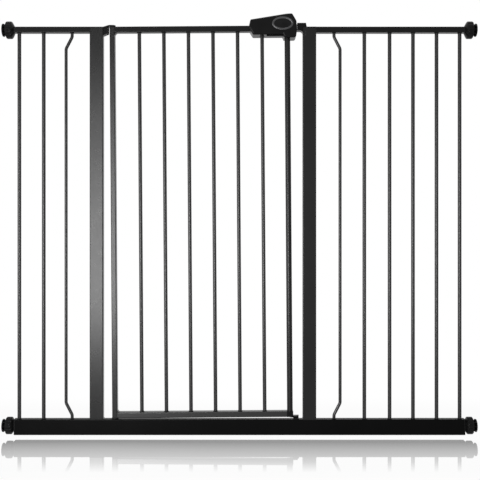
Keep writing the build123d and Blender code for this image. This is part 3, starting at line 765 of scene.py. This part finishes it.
def seen(tree):
    """1 for rays that show the background: the camera's own, mirrored and refracted ones."""
    path = tree.nodes.new("ShaderNodeLightPath")
    first = tree.nodes.new("ShaderNodeMath")
    first.operation = "MAXIMUM"
    both = tree.nodes.new("ShaderNodeMath")
    both.operation = "MAXIMUM"
    tree.links.new(path.outputs["Is Camera Ray"], first.inputs[0])
    tree.links.new(path.outputs["Is Glossy Ray"], first.inputs[1])
    tree.links.new(first.outputs["Value"], both.inputs[0])
    tree.links.new(path.outputs["Is Transmission Ray"], both.inputs[1])
    return both.outputs["Value"]


def blend_shaders(tree, factor, first, second):
    """First shader where the factor is 0, second where it is 1."""
    mix = tree.nodes.new("ShaderNodeMixShader")
    tree.links.new(factor, mix.inputs["Fac"])
    tree.links.new(first, mix.inputs[1])
    tree.links.new(second, mix.inputs[2])
    return mix.outputs["Shader"]


def fade(tree, distance, stops):
    """Share that changes with a distance in metres, given as (distance, share) stops."""
    node = tree.nodes.new("ShaderNodeValToRGB")
    ramp = node.color_ramp
    first, last = stops[0], stops[-1]
    for element, (place, share) in zip(ramp.elements, (first, last)):
        element.position = place
        element.color = (share, share, share, 1)
    for place, share in stops[1:-1]:
        ramp.elements.new(place).color = (share, share, share, 1)
    tree.links.new(distance, node.inputs["Fac"])
    return node.outputs["Color"]


def floor_material():
    """White floor that keeps the shadow and, close to the gate, a fading mirror image of it."""
    material = bpy.data.materials.new("floor")
    material.use_nodes = True
    tree = material.node_tree
    tree.nodes.clear()
    out = tree.nodes.new("ShaderNodeOutputMaterial")
    white = tree.nodes.new("ShaderNodeEmission")
    white.inputs["Color"].default_value = (1, 1, 1, 1)
    mirror = tree.nodes.new("ShaderNodeBsdfGlossy")
    mirror.inputs["Color"].default_value = (1, 1, 1, 1)
    mirror.inputs["Roughness"].default_value = FLOOR_BLUR
    matt = tree.nodes.new("ShaderNodeBsdfDiffuse")
    matt.inputs["Color"].default_value = (FLOOR_WHITE, FLOOR_WHITE, FLOOR_WHITE, 1)
    coords = tree.nodes.new("ShaderNodeTexCoord")
    split = tree.nodes.new("ShaderNodeSeparateXYZ")
    away = tree.nodes.new("ShaderNodeMath")
    away.operation = "ABSOLUTE"
    tree.links.new(coords.outputs["Object"], split.inputs["Vector"])
    tree.links.new(split.outputs["Y"], away.inputs[0])
    distance = away.outputs["Value"]
    shadowed = fade(tree, distance, FLOOR_SHADOW)
    direct = tree.nodes.new("ShaderNodeMath")
    direct.operation = "MULTIPLY"
    tree.links.new(fade(tree, distance, FLOOR_MIRROR), direct.inputs[0])
    tree.links.new(tree.nodes.new("ShaderNodeLightPath").outputs["Is Camera Ray"], direct.inputs[1])
    mirrored = direct.outputs["Value"]
    pale = blend_shaders(tree, shadowed, white.outputs["Emission"], matt.outputs["BSDF"])
    shown = blend_shaders(tree, mirrored, pale, mirror.outputs["BSDF"])
    final = blend_shaders(tree, seen(tree), matt.outputs["BSDF"], shown)
    tree.links.new(final, out.inputs["Surface"])
    return material


def floor():
    """Square of floor under the gate."""
    bm = bmesh.new()
    for x, y in ((-1, -1), (1, -1), (1, 1), (-1, 1)):
        bm.verts.new((x * FLOOR_HALF, y * FLOOR_HALF, FLOOR_Z))
    bm.faces.new(bm.verts)
    mesh = bpy.data.meshes.new("floor")
    bm.to_mesh(mesh)
    bm.free()
    mesh.materials.append(floor_material())
    obj = bpy.data.objects.new("floor", mesh)
    bpy.context.scene.collection.objects.link(obj)
    return obj


def studio():
    """White surround, dimmer as a source of light so that lamps and surround together stay plain."""
    world = bpy.data.worlds.new("studio")
    bpy.context.scene.world = world
    world.use_nodes = True
    tree = world.node_tree
    tree.nodes.clear()
    out = tree.nodes.new("ShaderNodeOutputWorld")
    lit = tree.nodes.new("ShaderNodeBackground")
    lit.inputs["Color"].default_value = (SURROUND, SURROUND, SURROUND, 1)
    white = tree.nodes.new("ShaderNodeBackground")
    white.inputs["Color"].default_value = (1, 1, 1, 1)
    final = blend_shaders(tree, seen(tree), lit.outputs["Background"], white.outputs["Background"])
    tree.links.new(final, out.inputs["Surface"])


def softbox(name, place, aim, width, height, radiance, skips=None):
    """Rectangular lamp at a place, aimed at a point, that may skip one object."""
    light = bpy.data.lights.new(name, "AREA")
    light.shape = "RECTANGLE"
    light.size = width
    light.size_y = height
    light.energy = radiance * math.pi * width * height
    obj = bpy.data.objects.new(name, light)
    obj.location = place
    obj.rotation_euler = (Vector(aim) - Vector(place)).to_track_quat("-Z", "Y").to_euler()
    obj.visible_camera = False
    if skips is not None:
        receivers = bpy.data.collections.new(f"{name}_receivers")
        receivers.objects.link(skips)
        receivers.collection_objects[0].light_linking.link_state = "EXCLUDE"
        obj.light_linking.receiver_collection = receivers
    bpy.context.scene.collection.objects.link(obj)


ground = floor()
studio()

# Strips that the left post mirrors: name, distance in front, height of the middle, height, radiance
STRIPS = [
    ("left_strip", 2.1, 0.6, 1.2, 12.0),
    ("left_core", 2.09, 0.38, 0.75, 16.0),
    ("left_low", 2.08, 0.13, 0.24, 14.0),
]
STRIP_X = -0.69
STRIP_AIM_X = -0.34
STRIP_W = 0.4
for name, away, z, height, radiance in STRIPS:
    softbox(name, (STRIP_X, -away, z), (STRIP_AIM_X, 0, z), STRIP_W, height, radiance, ground)
softbox("side_box", place=(-2.2, -1.2, 0.5), aim=(0.1, 0, 0.5), width=1.4, height=1.2, radiance=5.0,
        skips=ground)
softbox("top_box", place=(0, -0.6, 2.4), aim=(0, 0, 0.6), width=2.2, height=1.0, radiance=1.2)

# Lens and picture in the photo's pixels, the camera's place in metres
PICTURE = 480
FOCAL = 818
OFF_MIDDLE = (0.5, -11.1)
CAMERA_AWAY = 2.083
CAMERA_Z = 0.523
SENSOR = 36
camera = bpy.data.cameras.new("camera")
camera.sensor_width = SENSOR
camera.lens = SENSOR * FOCAL / PICTURE
camera.shift_x = OFF_MIDDLE[0] / PICTURE
camera.shift_y = OFF_MIDDLE[1] / PICTURE
view = bpy.data.objects.new("camera", camera)
view.location = (0, -CAMERA_AWAY, CAMERA_Z)
view.rotation_euler = (math.radians(90), 0, 0)
bpy.context.scene.collection.objects.link(view)
bpy.context.scene.camera = view
bpy.context.scene.view_settings.view_transform = "Standard"
